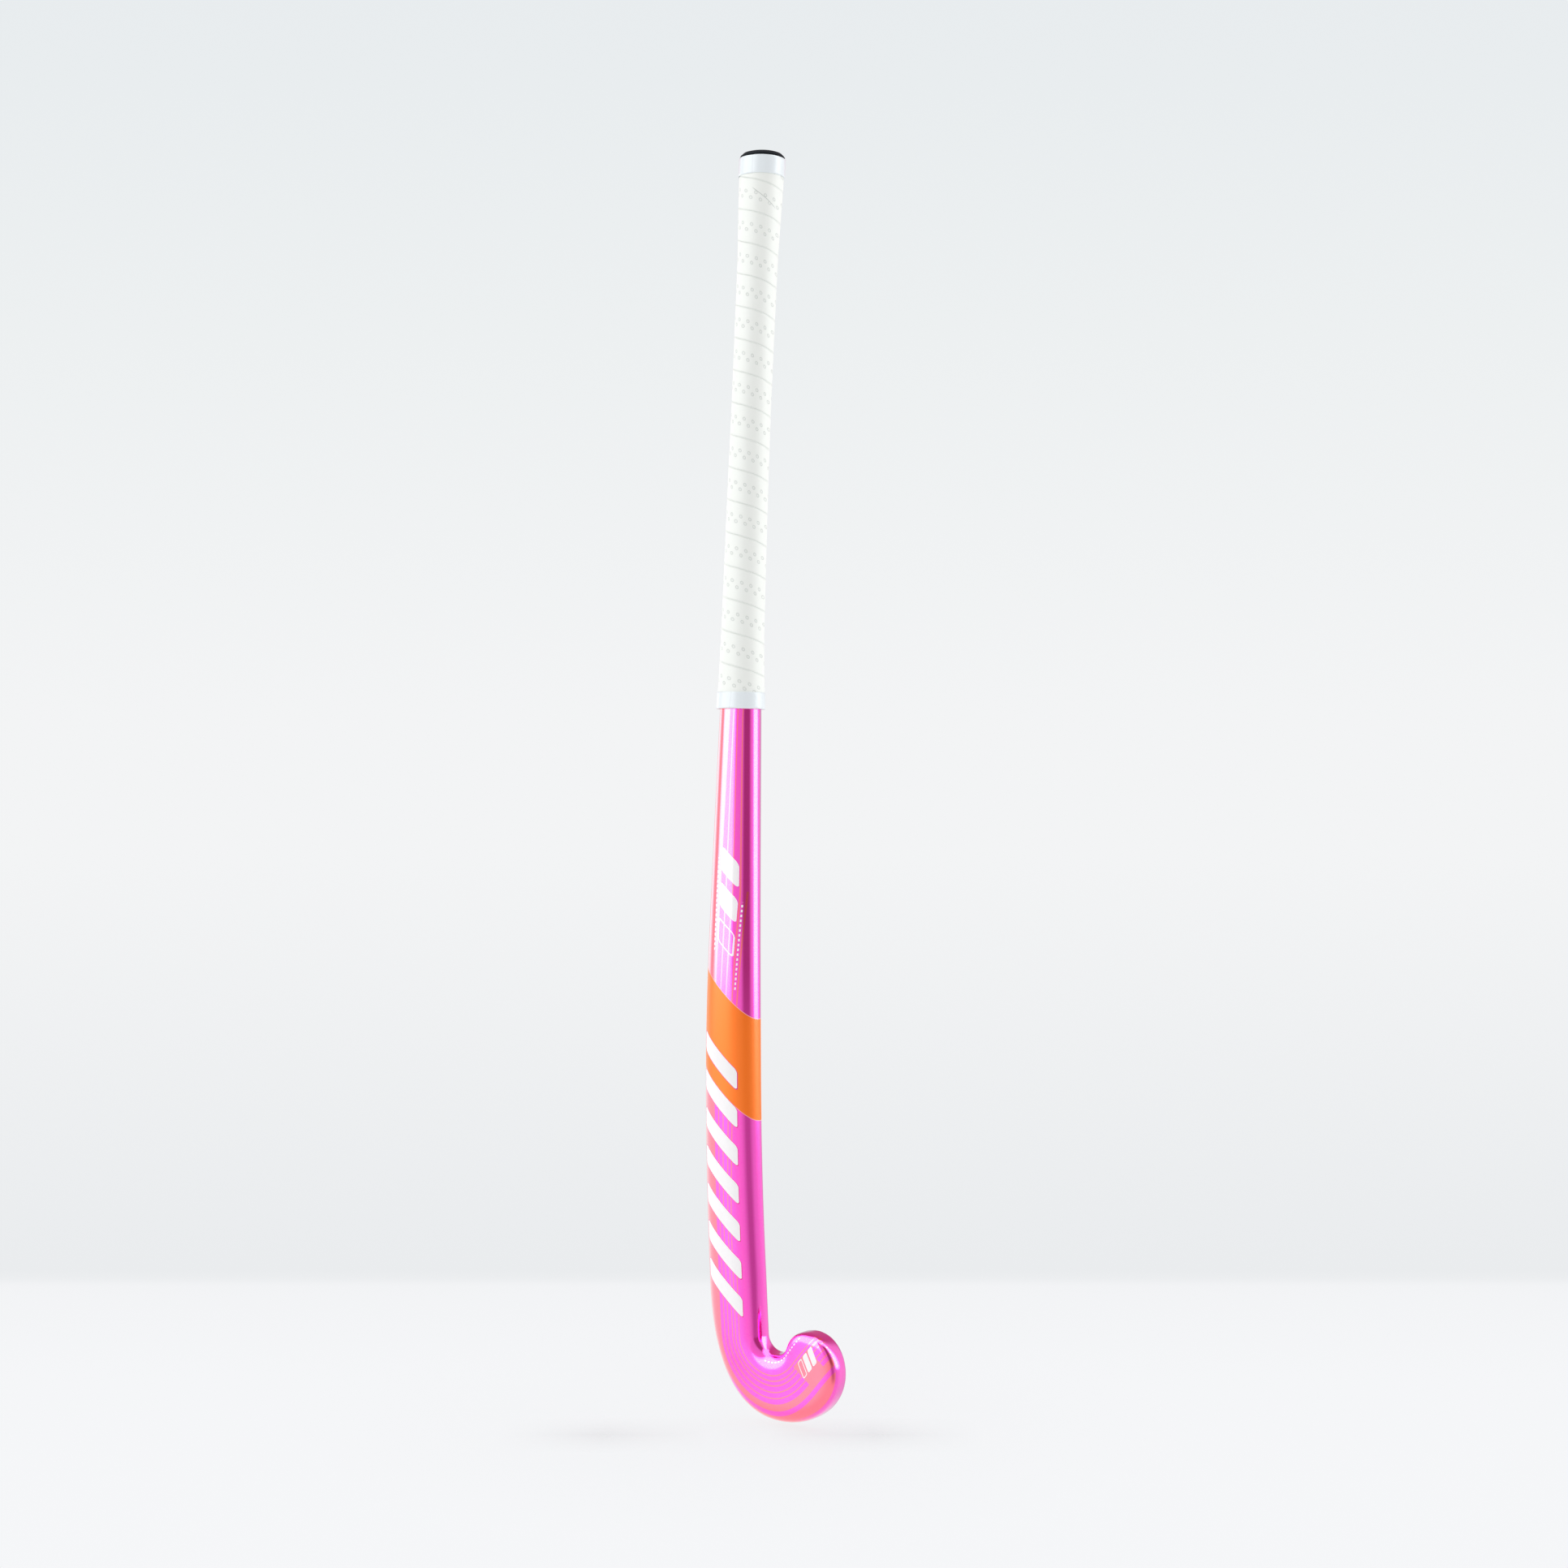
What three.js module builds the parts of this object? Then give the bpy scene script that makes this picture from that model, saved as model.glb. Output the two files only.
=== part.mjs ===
// Field hockey stick in millimetres, +Z up the shaft.
// The toe points to +X, the flat playing face to +Y and the rounded back to -Y.
// Every piece is lofted through rings that share one D-shaped section, so that nested
// pieces stay parallel. A ring's points run counter-clockwise seen from the butt.

import * as THREE from 'three';
import { LoftGeometry } from 'three/addons/geometries/LoftGeometry.js';

// Clearance between two pieces that touch on the real stick.
const fitGap = 0.3;

// Overall sizes.
const stickLength = 952.5; // lowest point of the head to the top of the butt plug
const bowDepth = 23; // deepest distance between the middle line and its chord
const bowStraight = 106; // flat stretch of the head and the lowest shaft
const bowChange = 361; // height where the tight lower curve eases into the gentle upper one
const bowEase = 0.11; // curvature above bowChange as a share of the curvature below it

// Head outline, in the XZ plane. X is measured from the middle of the shaft.
const headWidth = 47.2; // across the lowest shaft, where the head begins
const headThickness = 21.5; // face to back of the lowest shaft
const heelStart = 110; // height where the heel edge leaves the straight shaft
const headBottom = 38; // distance from the shaft's middle to the lowest point
const toeReach = 90.5; // distance from the shaft's middle to the outermost point
const toeReachHeight = 44; // height of the outermost point
const toeTop = 66; // distance from the shaft's middle to the top of the toe
const toeHeight = 72; // height of the top of the toe
const toeThickness = 20; // face to back of the toe
const crookRadius = 11.8; // inside of the hook
const crookHeight = 63.5; // height of the centre of the hook's inside curve
const toeLean = 22; // lean of the toe's inner edge away from the shaft, in degrees

// Shaft and handle sections, beside those of the head.
const faceEdge = 4; // rounding between the playing face and the sides
const handleEdge = 12; // the same rounding where the handle is almost round
const backFullness = 2.2; // exponent of the rounded back: 2 is an ellipse, more is fuller
const toeFullness = 5; // the flat back of the toe, with tighter rounded sides
const bladeTop = 306; // height where the broad lower shaft starts to taper
const bladeWidth = 44.2;
const bladeThickness = 24.5;
const throatWidth = 31.4; // just below the grip
const throatThickness = 26;
const waistWidth = 24.3; // thinnest part of the handle
const waistThickness = 24.8;
const buttWidth = 28.8; // flared end of the handle
const buttThickness = 28.2;

// Laminate and what it holds.
const wall = 2.2;
const foamTop = 150; // top of the filling of the head
const stopperLength = 14;
const ribThickness = 1.8;
const damperBase = 16; // above the lower end of the grip
const damperLength = 26;

// Grip, counted down from its top edge.
const plugRise = 4.2; // part of the butt plug that stands above the grip
const gripLength = 416;
const gripTurns = 17;
const adhesiveThickness = 0.25;
const adhesiveWidth = 14;
const tapeThickness = 1.5;
const edgeGap = 0.35; // seam between two turns of the tape
const filmThickness = 0.3;
const collarLength = 13.8;
const finishLength = 12.5;
const finishOverlap = 0.8; // finishing tape below the end of the grip tape

// Butt plug.
const plugFlange = 9; // height of the flange, its bevelled top included
const plugBevel = 2.6;
const stemLength = 34; // part of the plug inside the shell
const stemWall = 2;
const plugRoof = 5; // solid plastic above the hollow stem

// Loft resolution.
const cornerSteps = 3;
const backSteps = 12;
const headRings = 22;
const shaftStep = 26; // longest distance between two rings of the shaft

const gripTop = stickLength - plugRise;
const gripBottom = gripTop - gripLength;
const shellTop = stickLength - plugFlange - fitGap;
const tapeInset = -(fitGap + adhesiveThickness + fitGap);
const gripInset = tapeInset - tapeThickness;
const coreInset = wall + fitGap;
const stemBottom = shellTop - stemLength;
const stopperTop = foamTop + fitGap + stopperLength;
const damperBottom = gripBottom + damperBase;
const damperTop = damperBottom + damperLength;
const tapeBottom = gripBottom + finishOverlap;
const tapePitch = (gripTop - tapeBottom) / gripTurns;

const sections = [
  { height: 0, width: headWidth, thickness: headThickness, edge: faceEdge },
  { height: heelStart, width: headWidth, thickness: headThickness, edge: faceEdge },
  { height: bladeTop, width: bladeWidth, thickness: bladeThickness, edge: faceEdge + 2 },
  { height: gripBottom, width: throatWidth, thickness: throatThickness, edge: handleEdge - 2 },
  { height: gripBottom + 55, width: waistWidth + 3, thickness: waistThickness + 0.6, edge: handleEdge - 1 },
  { height: gripTop - 190, width: waistWidth, thickness: waistThickness, edge: handleEdge },
  { height: gripTop - 75, width: waistWidth + 0.8, thickness: waistThickness + 0.4, edge: handleEdge },
  { height: gripTop - 23, width: buttWidth - 0.4, thickness: buttThickness - 0.4, edge: handleEdge + 1 },
  { height: stickLength, width: buttWidth, thickness: buttThickness, edge: handleEdge + 1 },
];

// Straight-line value of one field of the section table at a height.
function sectionValue(height, field) {
  let upper = 1;
  while (upper < sections.length - 1 && sections[upper].height < height) upper += 1;
  const low = sections[upper - 1];
  const high = sections[upper];
  const share = THREE.MathUtils.clamp((height - low.height) / (high.height - low.height), 0, 1);
  return THREE.MathUtils.lerp(low[field], high[field], share);
}

// Distance that the bow carries the middle line towards the back at a height.
// Its slope is constant up to bowStraight, then changes at one rate up to bowChange
// and at a gentler rate above it; both ends of the stick lie on the chord.
function bend(height) {
  const low = Math.max(height - bowStraight, 0);
  const high = Math.max(height - bowChange, 0);
  return (low * low - (1 - bowEase) * high * high) / 2;
}

function rawBow(height) {
  return bend(stickLength) * (height / stickLength) - bend(height);
}

let rawBowPeak = 0;
for (let height = 0; height <= stickLength; height += 2) {
  rawBowPeak = Math.max(rawBowPeak, rawBow(height));
}

function bowAt(height) {
  return (bowDepth * rawBow(height)) / rawBowPeak;
}

// Points of a D section about its own middle: [across, towards the face].
// The face is straight between two corner arcs, and the back is half a superellipse.
// inset moves the whole outline inwards, or outwards when it is negative.
function dSection({ width, thickness, edge, fullness }, inset) {
  const half = width / 2 - inset;
  const face = thickness / 2 - inset;
  const corner = THREE.MathUtils.clamp(edge - inset, 0.4, Math.min(half * 0.94, face * 1.1));
  const backDepth = face + thickness / 2 - inset - corner;
  const points = [];
  for (let step = 0; step < cornerSteps; step += 1) {
    const angle = (step / cornerSteps) * (Math.PI / 2);
    points.push([half - corner + corner * Math.cos(angle), face - corner + corner * Math.sin(angle)]);
  }
  points.push([half - corner, face]);
  for (let step = 0; step < cornerSteps; step += 1) {
    const angle = (1 + step / cornerSteps) * (Math.PI / 2);
    points.push([corner - half + corner * Math.cos(angle), face - corner + corner * Math.sin(angle)]);
  }
  for (let step = 0; step < backSteps; step += 1) {
    const angle = Math.PI * (1 + step / backSteps);
    const across = Math.sign(Math.cos(angle)) * Math.abs(Math.cos(angle)) ** (2 / fullness);
    const down = Math.abs(Math.sin(angle)) ** (2 / fullness);
    points.push([half * across, face - corner - backDepth * down]);
  }
  return points;
}

const ringPoints = 2 * cornerSteps + 1 + backSteps;

// Ring of the straight shaft at one height. The bow moves it bodily.
function shaftRing(height, inset) {
  const section = {
    width: sectionValue(height, 'width'),
    thickness: sectionValue(height, 'thickness'),
    edge: sectionValue(height, 'edge'),
    fullness: backFullness,
  };
  return dSection(section, inset).map(([x, y]) => new THREE.Vector3(x, y - bowAt(height), height));
}

// Heights from low to high that no two rings stand further apart than shaftStep.
function heightsBetween(low, high) {
  const anchors = sections.map((section) => section.height);
  const inner = anchors.filter((height) => height > low + 4 && height < high - 4);
  const stops = [low, ...inner, high];
  const heights = [low];
  for (let i = 1; i < stops.length; i += 1) {
    const steps = Math.ceil((stops[i] - stops[i - 1]) / shaftStep);
    for (let step = 1; step <= steps; step += 1) {
      heights.push(THREE.MathUtils.lerp(stops[i - 1], stops[i], step / steps));
    }
  }
  return heights;
}

function shaftRings(low, high, inset) {
  return heightsBetween(low, high).map((height) => shaftRing(height, inset));
}

// Outer edge of the head: a heel curve down to the lowest point, a curve out to the toe's
// reach and a curve up to the top of the toe, each tangent to the next.
function headOuterEdge() {
  const heel = -headWidth / 2;
  const { lerp } = THREE.MathUtils;
  const edge = new THREE.CurvePath();
  edge.add(new THREE.CubicBezierCurve(
    new THREE.Vector2(heel, heelStart),
    new THREE.Vector2(heel, heelStart * 0.32),
    new THREE.Vector2(lerp(headBottom, heel, 0.62), 0),
    new THREE.Vector2(headBottom, 0),
  ));
  edge.add(new THREE.CubicBezierCurve(
    new THREE.Vector2(headBottom, 0),
    new THREE.Vector2(lerp(headBottom, toeReach, 0.57), 0),
    new THREE.Vector2(toeReach, toeReachHeight * 0.46),
    new THREE.Vector2(toeReach, toeReachHeight),
  ));
  edge.add(new THREE.CubicBezierCurve(
    new THREE.Vector2(toeReach, toeReachHeight),
    new THREE.Vector2(toeReach, lerp(toeReachHeight, toeHeight, 0.61)),
    new THREE.Vector2(lerp(toeTop, toeReach, 0.55), toeHeight),
    new THREE.Vector2(toeTop, toeHeight),
  ));
  return edge;
}

// Inner edge of the toe, from the end of the hook's arc to the top of the toe.
function toeInnerEdge(arcEnd) {
  const lean = THREE.MathUtils.degToRad(toeLean);
  const top = new THREE.Vector2(toeTop, toeHeight);
  const span = arcEnd.distanceTo(top);
  return new THREE.CubicBezierCurve(
    arcEnd,
    new THREE.Vector2(arcEnd.x + 0.5 * span * Math.sin(lean), arcEnd.y + 0.5 * span * Math.cos(lean)),
    new THREE.Vector2(top.x - 0.31 * span, top.y),
    top,
  );
}

const toeEndShare = 0.965; // the shell's last ring, which its flat tip closes
const cavityShare = (toeEndShare * (headRings - 2)) / headRings;
const coreShare = (toeEndShare * (headRings - 2.12)) / headRings;
const outerEdge = headOuterEdge();
const crookCentre = new THREE.Vector2(headWidth / 2 + crookRadius, crookHeight);
const crookLimit = 2 * Math.PI - THREE.MathUtils.degToRad(toeLean);
const crookEnd = new THREE.Vector2(crookRadius, 0)
  .rotateAround(new THREE.Vector2(), crookLimit)
  .add(crookCentre);
const innerEdge = toeInnerEdge(crookEnd);

// Direction from the hook's centre to a point, from 0 to a full turn.
function crookAngle(point) {
  const angle = Math.atan2(point.y - crookCentre.y, point.x - crookCentre.x);
  return angle < 0 ? angle + 2 * Math.PI : angle;
}

function isPastCrook(point) {
  return point.x > crookCentre.x && (crookAngle(point) > crookLimit || crookAngle(point) < Math.PI / 2);
}

// Share of the outer edge that faces the end of the hook's arc.
let crookShare = 0;
while (!isPastCrook(outerEdge.getPointAt(crookShare))) crookShare += 0.002;

// Point of the inner edge across from a share of the outer edge: straight across the
// shaft, then on the hook's arc, then along the toe's inner edge.
function innerPoint(share, outer) {
  if (outer.x < 0 && outer.y >= crookHeight) return new THREE.Vector2(headWidth / 2, outer.y);
  if (share < crookShare) return outer.clone().sub(crookCentre).setLength(crookRadius).add(crookCentre);
  return innerEdge.getPointAt((share - crookShare) / (1 - crookShare));
}

// Ring of the head at a share of its outer edge, 0 at heelStart and 1 at the top of the toe.
// The playing face stays in one plane, so a thinner toe loses its thickness at the back.
function headRing(share, inset) {
  const outer = outerEdge.getPointAt(share);
  const inner = innerPoint(share, outer);
  const middle = outer.clone().lerp(inner, 0.5);
  const across = inner.clone().sub(outer).normalize();
  const tip = Math.max(0, (share - crookShare) / (1 - crookShare));
  const thickness = THREE.MathUtils.lerp(headThickness, toeThickness, share) * (1 - 0.3 * tip ** 3);
  const section = {
    width: outer.distanceTo(inner),
    thickness,
    edge: faceEdge,
    fullness: THREE.MathUtils.lerp(backFullness, toeFullness, share),
  };
  const faceShift = (headThickness - thickness) / 2;
  return dSection(section, inset).map(([x, y]) => {
    const point = middle.clone().addScaledVector(across, x);
    return new THREE.Vector3(point.x, y + faceShift - bowAt(point.y), point.y);
  });
}

// Rings of the head from the toe back to heelStart, which the shaft's first ring repeats.
function headRingsFrom(firstShare, inset) {
  const rings = [headRing(firstShare, inset)];
  for (let index = headRings - 1; index > 0; index -= 1) {
    const share = (toeEndShare * index) / headRings;
    if (share < firstShare - 0.01) rings.push(headRing(share, inset));
  }
  return rings;
}

// Closed solid through rings, with a cap at each end.
function solid(rings) {
  return new LoftGeometry(rings, { capStart: true, capEnd: true });
}

// Ring drawn together to its middle, which closes the blind end of a cavity.
function gathered(ring) {
  const middle = new THREE.Vector3();
  ring.forEach((point) => middle.addScaledVector(point, 1 / ring.length));
  return ring.map(() => middle);
}

// Closed ring-shaped wall between two insets: up the outside, down the inside and back.
function sleeve(low, high, innerInset, outerInset) {
  const outside = shaftRings(low, high, outerInset);
  const inside = shaftRings(low, high, innerInset).reverse();
  return new LoftGeometry([...outside, ...inside, outside[0]]);
}

// Strip wound round the handle, downwards as it turns from +X to +Y. The span function
// gives its lower and upper edge for a number of turns from the start.
function woundStrip(firstTurn, lastTurn, innerInset, outerInset, span) {
  const rings = [];
  const firstStep = Math.round(firstTurn * ringPoints);
  const lastStep = Math.round(lastTurn * ringPoints);
  for (let step = firstStep; step <= lastStep; step += 1) {
    const [low, high] = span(step / ringPoints);
    const index = step % ringPoints;
    rings.push([
      shaftRing(low, outerInset)[index],
      shaftRing(low, innerInset)[index],
      shaftRing(high, innerInset)[index],
      shaftRing(high, outerInset)[index],
    ]);
  }
  return solid(rings);
}

// Hollow laminate: up the outside from the toe, over the open butt and down the inside.
function stickShell() {
  const outside = [...headRingsFrom(toeEndShare, 0), ...shaftRings(heelStart, shellTop, 0)];
  const inside = [...headRingsFrom(cavityShare, wall), ...shaftRings(heelStart, shellTop, wall)];
  const rings = [...outside, ...inside.reverse(), gathered(inside[inside.length - 1])];
  return new LoftGeometry(rings, { capStart: true });
}

function headCore() {
  return solid([...headRingsFrom(coreShare, coreInset), ...shaftRings(heelStart, foamTop, coreInset)]);
}

// Plug of soft material that fills the cavity between two heights.
function cavityPlug(low, high) {
  return solid(shaftRings(low, high, coreInset));
}

// Web from the back wall to the face wall, on the shaft's middle plane.
function shaftRib() {
  const half = ribThickness / 2;
  const rings = heightsBetween(stopperTop + fitGap, damperBottom - fitGap).map((height) => {
    const reach = sectionValue(height, 'thickness') / 2 - coreInset - fitGap;
    const middle = -bowAt(height);
    return [
      new THREE.Vector3(half, middle - reach, height),
      new THREE.Vector3(half, middle + reach, height),
      new THREE.Vector3(-half, middle + reach, height),
      new THREE.Vector3(-half, middle - reach, height),
    ];
  });
  return solid(rings);
}

// Hollow stem, flange over the end of the shell, rim over the end of the grip, bevelled top.
function buttPlug() {
  const boreInset = coreInset + stemWall;
  const boreTop = stickLength - plugRoof;
  const rings = [
    gathered(shaftRing(boreTop, boreInset)),
    ...shaftRings(stemBottom, boreTop, boreInset).reverse(),
    ...shaftRings(stemBottom, shellTop + fitGap, coreInset),
    ...shaftRings(shellTop + fitGap, gripTop + fitGap, 0),
    ...shaftRings(gripTop + fitGap, stickLength - plugBevel, gripInset),
    shaftRing(stickLength, gripInset + plugBevel),
  ];
  return new LoftGeometry(rings, { capEnd: true });
}

// The tape's first and last turns are trimmed level with the ends of the grip.
function gripTape() {
  const shortest = 2.6;
  const firstTurn = shortest / tapePitch;
  const lastTurn = gripTurns + 1 - (shortest + edgeGap) / tapePitch;
  return woundStrip(firstTurn, lastTurn, tapeInset, gripInset, (turns) => [
    Math.max(tapeBottom, gripTop - tapePitch * turns),
    Math.min(gripTop, gripTop + tapePitch * (1 - turns) - edgeGap),
  ]);
}

// Runs under the middle of each turn of the tape.
function gripAdhesive() {
  const margin = (tapePitch - edgeGap - adhesiveWidth) / 2;
  return woundStrip(1, gripTurns, -fitGap, -(fitGap + adhesiveThickness), (turns) => [
    gripTop - tapePitch * turns + margin,
    gripTop - tapePitch * turns + margin + adhesiveWidth,
  ]);
}

function filmSleeve(low, high) {
  return sleeve(low, high, gripInset - fitGap, gripInset - fitGap - filmThickness);
}

const laminate = new THREE.MeshStandardMaterial({ color: 0xe23cb4, roughness: 0.18, metalness: 0.75 });
const foam = new THREE.MeshStandardMaterial({ color: 0xe8dcae, roughness: 0.9, metalness: 0 });
const carbon = new THREE.MeshStandardMaterial({ color: 0x2b2c2f, roughness: 0.5, metalness: 0.1 });
const elastomer = new THREE.MeshStandardMaterial({ color: 0x3a3f46, roughness: 0.8, metalness: 0 });
const blackPlastic = new THREE.MeshStandardMaterial({ color: 0x121214, roughness: 0.45, metalness: 0 });
const whiteTape = new THREE.MeshStandardMaterial({ color: 0xf4f5f7, roughness: 0.55, metalness: 0 });
const whiteFilm = new THREE.MeshStandardMaterial({ color: 0xf2f5fa, roughness: 0.25, metalness: 0 });
const glue = new THREE.MeshStandardMaterial({ color: 0xd9d3c0, roughness: 0.7, metalness: 0 });

const stick = new THREE.Group();

function addPiece(name, geometry, material) {
  const mesh = new THREE.Mesh(geometry, material);
  mesh.name = name;
  stick.add(mesh);
}

addPiece('stick_shell', stickShell(), laminate);
addPiece('head_core', headCore(), foam);
addPiece('core_stopper', cavityPlug(foamTop + fitGap, stopperTop), foam);
addPiece('shaft_rib', shaftRib(), carbon);
addPiece('handle_damper', cavityPlug(damperBottom, damperTop), elastomer);
addPiece('handle_foam', cavityPlug(damperTop + fitGap, stemBottom - fitGap), foam);
addPiece('butt_plug', buttPlug(), blackPlastic);
addPiece('grip_adhesive', gripAdhesive(), glue);
addPiece('grip_tape', gripTape(), whiteTape);
addPiece('top_collar', filmSleeve(gripTop - collarLength, gripTop), whiteFilm);
addPiece('finish_tape', filmSleeve(gripBottom, gripBottom + finishLength), whiteFilm);

// The origin is the middle of the stick's box on the ground below it.
const box = new THREE.Box3().setFromObject(stick);
stick.position.set(-(box.min.x + box.max.x) / 2, -(box.min.y + box.max.y) / 2, -box.min.z);

export default stick;
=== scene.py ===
# %% [markdown]
# # A field hockey stick, piece by piece
# The stick is a hollow laminate shaft that curves into a J-shaped head, a wound white grip, two bands of
# film that hold the grip's ends, and a black plug in the butt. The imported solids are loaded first, as a
# frame that never moves. Every visible piece is then worked out again as a finer surface in the same
# place, and the pieces hidden inside keep their solids and get a finish of their own.

import bpy
import numpy as np
from mathutils import Matrix, Vector


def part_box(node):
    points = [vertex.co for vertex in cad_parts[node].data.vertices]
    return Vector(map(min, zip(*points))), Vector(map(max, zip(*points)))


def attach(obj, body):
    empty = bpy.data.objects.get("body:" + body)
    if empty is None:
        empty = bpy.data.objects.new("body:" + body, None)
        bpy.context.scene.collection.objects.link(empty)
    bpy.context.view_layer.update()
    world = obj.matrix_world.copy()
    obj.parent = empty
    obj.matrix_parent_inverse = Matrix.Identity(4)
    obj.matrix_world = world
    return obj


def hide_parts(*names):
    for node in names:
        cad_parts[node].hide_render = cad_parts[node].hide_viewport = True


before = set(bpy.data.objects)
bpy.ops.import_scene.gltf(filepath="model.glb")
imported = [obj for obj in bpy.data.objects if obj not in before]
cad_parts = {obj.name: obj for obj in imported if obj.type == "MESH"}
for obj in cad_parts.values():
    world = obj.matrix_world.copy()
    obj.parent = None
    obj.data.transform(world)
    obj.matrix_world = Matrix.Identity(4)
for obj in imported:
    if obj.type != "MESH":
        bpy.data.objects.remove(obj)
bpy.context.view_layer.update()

# %% [markdown]
# ## Sizes
# The surfaces follow the same rules as the solids: one table of D-shaped sections up the shaft, a bow that
# carries the middle line towards the back, and an outline for the head. All sizes are in millimetres and
# become metres only when a mesh is written, so the numbers read like a drawing.

# %% Sizes of the stick
stick_length = 952.5
bow_depth = 23.0
bow_straight = 106.0
bow_change = 361.0
bow_ease = 0.11

head_width = 47.2
head_thickness = 21.5
heel_start = 110.0
head_bottom = 38.0
toe_reach = 90.5
toe_reach_height = 44.0
toe_top = 66.0
toe_height = 72.0
toe_thickness = 20.0
crook_radius = 11.8
crook_height = 63.5
toe_lean = np.radians(22)

face_edge = 4.0
handle_edge = 12.0
back_fullness = 2.2
toe_fullness = 5.0

fit_gap = 0.3
wall = 2.2
plug_rise = 4.2
grip_length = 416.0
grip_turns = 17
adhesive_thickness = 0.25
tape_thickness = 1.5
film_thickness = 0.3
collar_length = 13.8
finish_length = 12.5
finish_overlap = 0.8
plug_flange = 9.0
plug_bevel = 2.6
stem_length = 34.0
stem_wall = 2.0
plug_roof = 5.0

grip_top = stick_length - plug_rise
grip_bottom = grip_top - grip_length
shell_top = stick_length - plug_flange - fit_gap
tape_inset = -(fit_gap + adhesive_thickness + fit_gap)
grip_inset = tape_inset - tape_thickness
film_inset = grip_inset - fit_gap
core_inset = wall + fit_gap
stem_bottom = shell_top - stem_length
tape_bottom = grip_bottom + finish_overlap
tape_pitch = (grip_top - tape_bottom) / grip_turns

print(f"grip from {grip_bottom:.1f} to {grip_top:.1f} mm, one turn every {tape_pitch:.2f} mm")

# %% [markdown]
# ## The D section
# A hockey stick is flat on its playing face and round on its back. A section is two corner arcs joined by a
# straight face, closed by half a superellipse. The table gives its size at nine heights. Real shafts have
# no kinks, so a value is averaged over a short window of heights, which rounds the table's corners and
# leaves its straight stretches as they are.

# %% Section table and bow
section_heights = np.array([0, heel_start, 306, grip_bottom, grip_bottom + 55, grip_top - 190,
                            grip_top - 75, grip_top - 23, stick_length])
section_widths = np.array([head_width, head_width, 44.2, 31.4, 27.3, 24.3, 25.1, 28.4, 28.8])
section_thicknesses = np.array([head_thickness, head_thickness, 24.5, 26, 25.4, 24.8, 25.2, 27.8, 28.2])
section_edges = np.array([face_edge, face_edge, face_edge + 2, handle_edge - 2, handle_edge - 1,
                          handle_edge, handle_edge, handle_edge + 1, handle_edge + 1])


window_heights = [heel_start, heel_start + 60, 440, grip_bottom, stick_length]
window_halves = [1, 40, 40, 14, 10]


def section_value(height, column):
    """Value of one column of the section table: the mean of its straight-line value at nine heights
    spread evenly over a window, 80 mm wide on the shaft and 20 mm wide at the butt."""
    height = np.asarray(height, float)
    window = np.interp(height, window_heights, window_halves)
    offsets = np.linspace(-1, 1, 9)
    return np.mean([np.interp(height + window * offset, section_heights, column) for offset in offsets],
                   axis=0)


def bend(height):
    """Half the square of the height above the straight stretch, less most of half the square of the
    height above the change of curve."""
    low = np.maximum(height - bow_straight, 0)
    high = np.maximum(height - bow_change, 0)
    return (low ** 2 - (1 - bow_ease) * high ** 2) / 2


def raw_bow(height):
    """The chord's share of the whole bend, less the bend so far: zero at both ends of the stick."""
    return bend(stick_length) * height / stick_length - bend(height)


bow_peak = raw_bow(np.arange(0, stick_length, 2.0)).max()


def bow_at(height):
    """Distance that the middle line lies behind its chord, scaled so that its largest is bow_depth."""
    return bow_depth * raw_bow(height) / bow_peak


print("bow at 200, 400 and 700 mm:", [round(float(bow_at(h)), 1) for h in (200, 400, 700)])

# %% D section as arrays
corner_steps, face_steps, back_steps = 9, 14, 46
around = 2 * corner_steps + face_steps + back_steps


def d_section(width, thickness, edge, fullness, inset):
    """Points (across, towards the face) of many D sections at once. The corners are quarter circles of
    radius edge, the face is a straight line between them, and the back is
    |across / half|^fullness + |depth / back depth|^fullness = 1. inset moves the outline inwards."""
    width, thickness, edge, fullness, inset = (
        np.atleast_1d(v)[:, None] for v in np.broadcast_arrays(width, thickness, edge, fullness, inset))
    half = width / 2 - inset
    face = thickness / 2 - inset
    corner = np.clip(edge - inset, 0.05, np.minimum(half * 0.94, face * 1.1))
    back_depth = 2 * face - corner
    quarter = np.arange(corner_steps) / corner_steps * np.pi / 2
    slide = np.arange(face_steps) / face_steps
    turn = np.pi * (1 + np.arange(back_steps) / back_steps)
    across = np.concatenate([
        half - corner + corner * np.cos(quarter),
        (half - corner) * (1 - 2 * slide),
        corner - half + corner * np.cos(quarter + np.pi / 2),
        half * np.sign(np.cos(turn)) * np.abs(np.cos(turn)) ** (2 / fullness),
    ], axis=1)
    depth = np.concatenate([
        face - corner + corner * np.sin(quarter),
        face + 0 * slide,
        face - corner + corner * np.sin(quarter + np.pi / 2),
        face - corner - back_depth * np.abs(np.sin(turn)) ** (2 / fullness),
    ], axis=1)
    return across, depth


def shaft_points(height, inset):
    """Rings of the straight shaft at an array of heights, as (ring, point, xyz) in millimetres: a D
    section in the level plane, moved back by the bow."""
    height, inset = np.broadcast_arrays(np.asarray(height, float), np.asarray(inset, float))
    width, thickness, edge = (section_value(height, column)
                              for column in (section_widths, section_thicknesses, section_edges))
    across, depth = d_section(width, thickness, edge, back_fullness, inset)
    rise = np.repeat(height[:, None], around, axis=1)
    return np.stack([across, depth - bow_at(rise), rise], axis=2)


print("points in a ring:", around)

# %% [markdown]
# ## The head
# Seen from the front the head is a J. Its outer edge is three Bezier curves, its inner edge is the shaft's
# side, an arc round the hook and one Bezier curve up the toe. A section stands across the J at every
# step, like the slats of a fan that opens round the hook. At the very tip the slats get short, and the face
# and back round over to meet, because a real toe has no sharp rim.

# %% Head outline


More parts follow.
